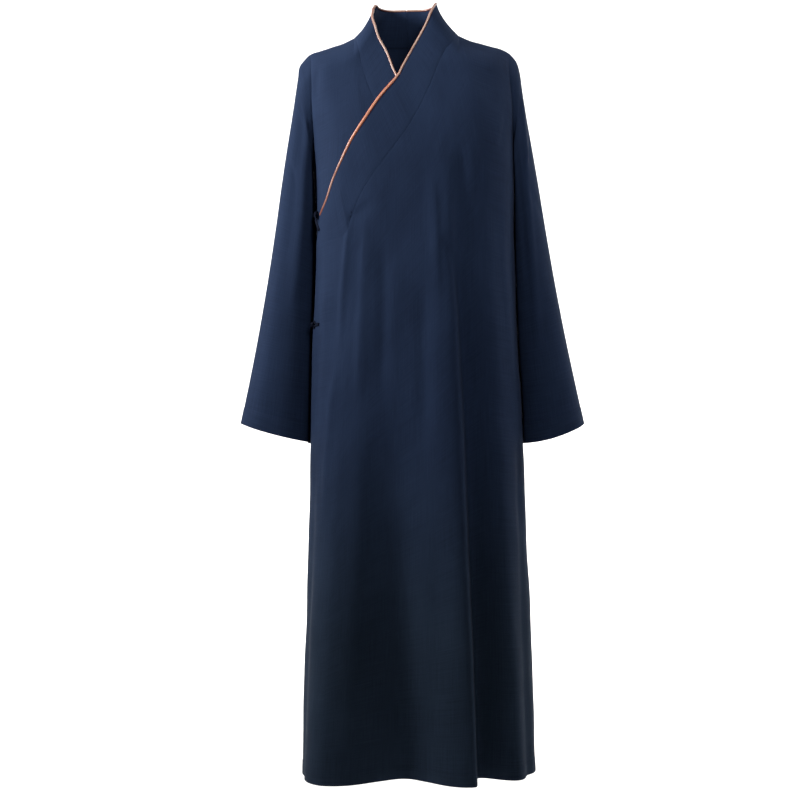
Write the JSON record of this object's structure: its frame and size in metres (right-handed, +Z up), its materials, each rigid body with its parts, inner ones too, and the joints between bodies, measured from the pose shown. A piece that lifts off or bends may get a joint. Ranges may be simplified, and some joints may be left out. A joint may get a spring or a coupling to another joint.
{
  "type": "monk coat, worn form with no figure",
  "caption": "Long cross-collar monk coat in navy cloth with orange collar piping and straight wide sleeves, hollow as when worn.",
  "frame": {"origin": "on the shoulder line at the base of the neck, where the wearer holds the coat up", "axes": "+Z up along the coat's length, -Y out of its front, +X towards the wearer's left"},
  "size_m": [0.619, 0.3158, 1.3701],
  "materials": {
    "navy_cloth": "matte fine woven cloth",
    "navy_cord": "matte rolled cloth cord",
    "orange_piping": "satin rolled piping"
  },
  "bodies": {
    "root": {"front_outer_top": "navy_cloth", "front_outer_middle": "navy_cloth", "front_outer_skirt": "navy_cloth", "front_inner_top": "navy_cloth", "front_inner_middle": "navy_cloth", "front_inner_skirt": "navy_cloth", "back_left_top": "navy_cloth", "back_left_middle": "navy_cloth", "back_left_skirt": "navy_cloth", "back_right_top": "navy_cloth", "back_right_middle": "navy_cloth", "back_right_skirt": "navy_cloth", "sleeve_left_top": "navy_cloth", "sleeve_left_lower": "navy_cloth", "sleeve_right_top": "navy_cloth", "sleeve_right_lower": "navy_cloth", "collar_outer": "navy_cloth", "collar_inner": "navy_cloth", "piping_outer": "orange_piping", "piping_inner": "orange_piping", "knot_upper": "navy_cord", "loop_upper": "navy_cord", "knot_waist": "navy_cord", "loop_waist": "navy_cord"}
  },
  "joints": []
}
